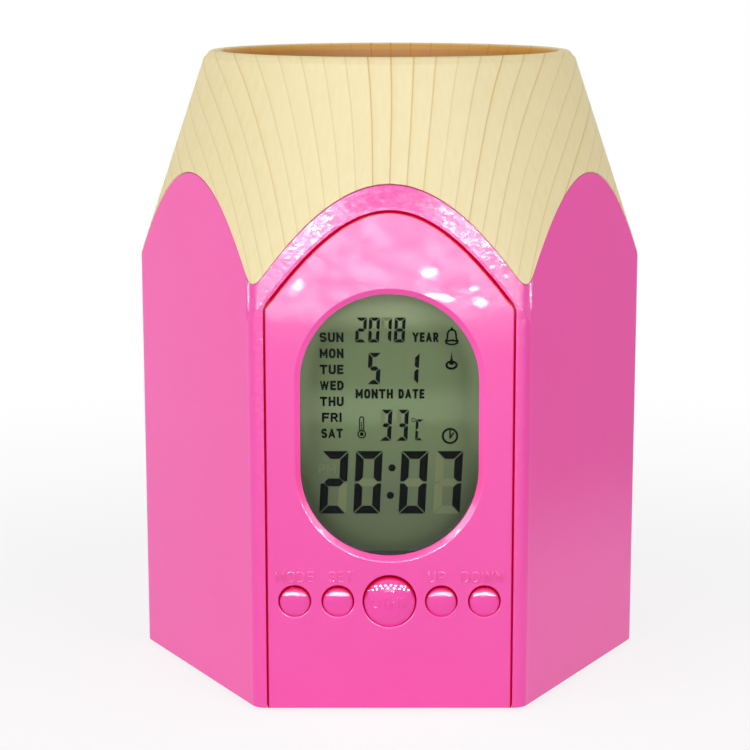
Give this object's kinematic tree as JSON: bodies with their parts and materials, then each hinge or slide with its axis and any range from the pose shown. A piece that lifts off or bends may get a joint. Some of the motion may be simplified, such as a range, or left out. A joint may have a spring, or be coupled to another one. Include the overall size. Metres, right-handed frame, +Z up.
{
  "type": "pen holder desk clock",
  "caption": "Hexagonal desk clock shaped like a sharpened pencil: a wood-grain cone round an open pen cup, and an arched front panel with a liquid crystal display and push buttons.",
  "frame": {"origin": "under the middle of the hexagonal body, on the plane of the feet's soles", "axes": "+Z up, -Y out of the clock's display, +X to the right of someone who reads it"},
  "size_m": [0.099, 0.0871, 0.121],
  "materials": {
    "pink_plastic": "high gloss moulding",
    "wood_print": "satin print of pale wood grain",
    "cream_plastic": "satin moulding",
    "steel": "zinc plated",
    "foot_rubber": "matt",
    "cell_sleeve": "plain printed sleeve",
    "red_lead": "insulated wire",
    "black_lead": "insulated wire",
    "clear_window": "clear acrylic",
    "polariser": "grey green film",
    "lcd_glass": "polished",
    "gasket_foam": "closed cell foam",
    "reflector": "satin film",
    "guide_acrylic": "clear acrylic",
    "led_lens": "clear yellow",
    "white_plastic": "satin moulding",
    "strip_rubber": "matt silicone",
    "board_laminate": "solder mask",
    "chip_epoxy": "poured epoxy",
    "crystal_can": "drawn can",
    "bead_glaze": "glazed bead",
    "black_plastic": "moulded",
    "part_ceramic": "fired ceramic"
  },
  "bodies": {
    "housing": {"body_shell": "pink_plastic", "wood_collar": "wood_print", "pen_cup": "cream_plastic", "base_plate": "pink_plastic", "base_screws": "steel", "rubber_feet": "foot_rubber", "battery_cells": "cell_sleeve", "spring_contacts": "steel", "plate_contacts": "steel", "positive_lead": "red_lead", "negative_lead": "black_lead", "clock_fascia": "pink_plastic", "display_window": "clear_window", "front_polariser": "polariser", "lcd_front_glass": "lcd_glass", "lcd_rear_glass": "lcd_glass", "lcd_gasket": "gasket_foam", "reflector_film": "reflector", "light_guide": "guide_acrylic", "backlight_leds": "led_lens", "lcd_holder": "white_plastic", "zebra_strips": "strip_rubber", "main_board": "board_laminate", "clock_chip": "chip_epoxy", "quartz_crystal": "crystal_can", "thermistor": "bead_glaze", "alarm_buzzer": "black_plastic", "board_parts": "part_ceramic", "switch_bodies": "black_plastic", "module_cover": "cream_plastic", "module_screws": "steel"},
    "mode_key": {"mode_button": "pink_plastic", "mode_plunger": "white_plastic"},
    "set_key": {"set_button": "pink_plastic", "set_plunger": "white_plastic"},
    "light_key": {"light_button": "pink_plastic", "light_plunger": "white_plastic"},
    "up_key": {"up_button": "pink_plastic", "up_plunger": "white_plastic"},
    "down_key": {"down_button": "pink_plastic", "down_plunger": "white_plastic"},
    "door": {"battery_door": "pink_plastic"}
  },
  "joints": [
    {"name": "mode_press", "type": "slide", "parent": "housing", "child": "mode_key", "axis": [0, 1, 0], "range_m": [0, 0.0005], "stiffness_N_per_m": 1500, "springref_m": -0.0003},
    {"name": "set_press", "type": "slide", "parent": "housing", "child": "set_key", "axis": [0, 1, 0], "range_m": [0, 0.0005], "stiffness_N_per_m": 1500, "springref_m": -0.0003},
    {"name": "light_press", "type": "slide", "parent": "housing", "child": "light_key", "axis": [0, 1, 0], "range_m": [0, 0.0005], "stiffness_N_per_m": 1500, "springref_m": -0.0003},
    {"name": "up_press", "type": "slide", "parent": "housing", "child": "up_key", "axis": [0, 1, 0], "range_m": [0, 0.0005], "stiffness_N_per_m": 1500, "springref_m": -0.0003},
    {"name": "down_press", "type": "slide", "parent": "housing", "child": "down_key", "axis": [0, 1, 0], "range_m": [0, 0.0005], "stiffness_N_per_m": 1500, "springref_m": -0.0003},
    {"name": "door_slide", "type": "slide", "parent": "housing", "child": "door", "axis": [0, 1, 0], "range_m": [0, 0.006]}
  ]
}
